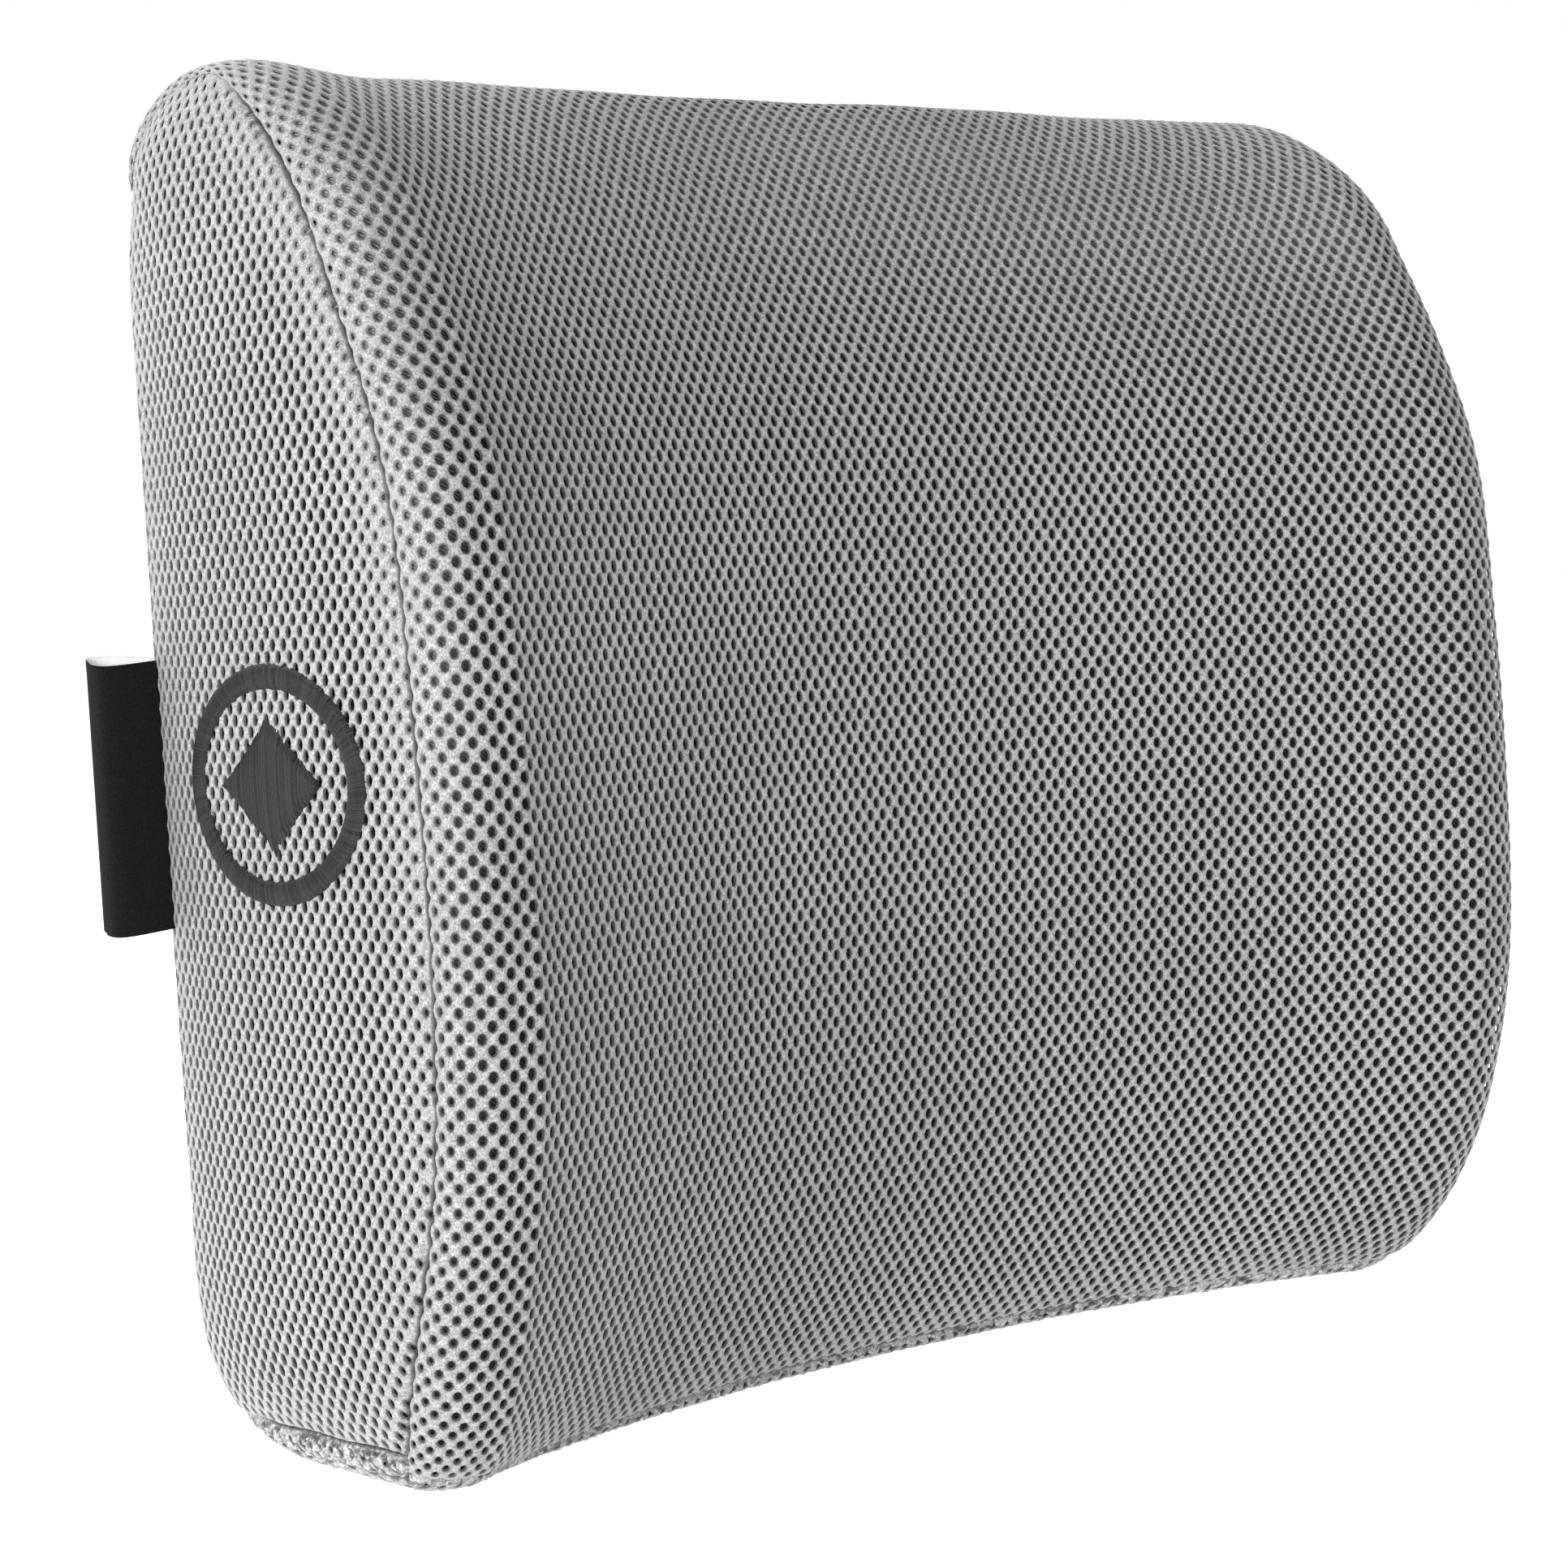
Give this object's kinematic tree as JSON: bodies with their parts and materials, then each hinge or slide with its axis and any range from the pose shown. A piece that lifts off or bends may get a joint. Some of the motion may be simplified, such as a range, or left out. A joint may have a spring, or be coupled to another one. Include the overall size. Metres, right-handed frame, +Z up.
{
  "type": "lumbar support cushion",
  "caption": "Moulded foam back cushion with a concave face, zipped mesh cover and a buckled strap to fasten it to a chair.",
  "frame": {"origin": "middle of the flat foot that the cushion stands on", "axes": "+Z up; +X across the cushion, to its right as seen from the front; the concave front faces -Y and the strap side faces +Y"},
  "size_m": [0.3606, 0.1294, 0.3179],
  "materials": {
    "foam": "cream memory foam",
    "liner": "white knitted liner",
    "mesh_fabric": "light grey spacer mesh, matt",
    "zip_tape": "woven grey tape",
    "zip_coil": "grey nylon coil",
    "zip_metal": "plated metal",
    "webbing": "black woven webbing",
    "buckle_plastic": "black moulded plastic",
    "label_ribbon": "black woven ribbon",
    "care_ribbon": "blank white satin ribbon",
    "emblem_thread": "dark grey satin stitch"
  },
  "bodies": {
    "cushion": {"foam_core": "foam", "inner_liner": "liner", "cover_front_panel": "mesh_fabric", "cover_back_panel_upper": "mesh_fabric", "cover_back_panel_lower": "mesh_fabric", "cover_foot_panel": "mesh_fabric", "cover_side_panel_left": "mesh_fabric", "cover_side_panel_right": "mesh_fabric", "zip_tape_upper": "zip_tape", "zip_tape_lower": "zip_tape", "zip_chain_upper": "zip_coil", "zip_chain_lower": "zip_coil", "zip_top_stop_upper": "zip_metal", "zip_top_stop_lower": "zip_metal", "zip_bottom_stop": "zip_metal", "strap_left": "webbing", "strap_right": "webbing", "buckle_housing": "buckle_plastic", "loop_label": "label_ribbon", "care_label": "care_ribbon", "emblem_ring": "emblem_thread", "emblem_lozenge": "emblem_thread"},
    "slider": {"zip_slider": "zip_metal"},
    "pull": {"zip_pull": "zip_metal"},
    "buckle_plug": {"buckle_frame": "buckle_plastic", "strap_tail": "webbing"},
    "prong_upper": {"buckle_prong_upper": "buckle_plastic"},
    "prong_lower": {"buckle_prong_lower": "buckle_plastic"},
    "keeper": {"strap_keeper": "webbing"}
  },
  "joints": [
    {"name": "zip_slide", "type": "slide", "parent": "cushion", "child": "slider", "axis": [1, 0, 0], "range_m": [-0.265, 0]},
    {"name": "zip_pull_hinge", "type": "hinge", "parent": "slider", "child": "pull", "pos_m": [0.132, 0.0413, 0.062], "axis": [0, 0, -1], "range_deg": [0, 165]},
    {"name": "buckle_release", "type": "slide", "parent": "cushion", "child": "buckle_plug", "axis": [1, 0, 0], "range_m": [0, 0.028]},
    {"name": "prong_upper_flex", "type": "hinge", "parent": "buckle_plug", "child": "prong_upper", "pos_m": [-0.001, 0.0456, 0.2235], "axis": [0, -1, 0], "range_deg": [0, 8], "stiffness_Nm_per_rad": 0.05},
    {"name": "prong_lower_flex", "type": "hinge", "parent": "buckle_plug", "child": "prong_lower", "pos_m": [-0.001, 0.0456, 0.2045], "axis": [0, 1, 0], "range_deg": [0, 8], "stiffness_Nm_per_rad": 0.05},
    {"name": "keeper_slide", "type": "slide", "parent": "cushion", "child": "keeper", "axis": [1, 0, 0], "range_m": [-0.014, 0.052]}
  ]
}
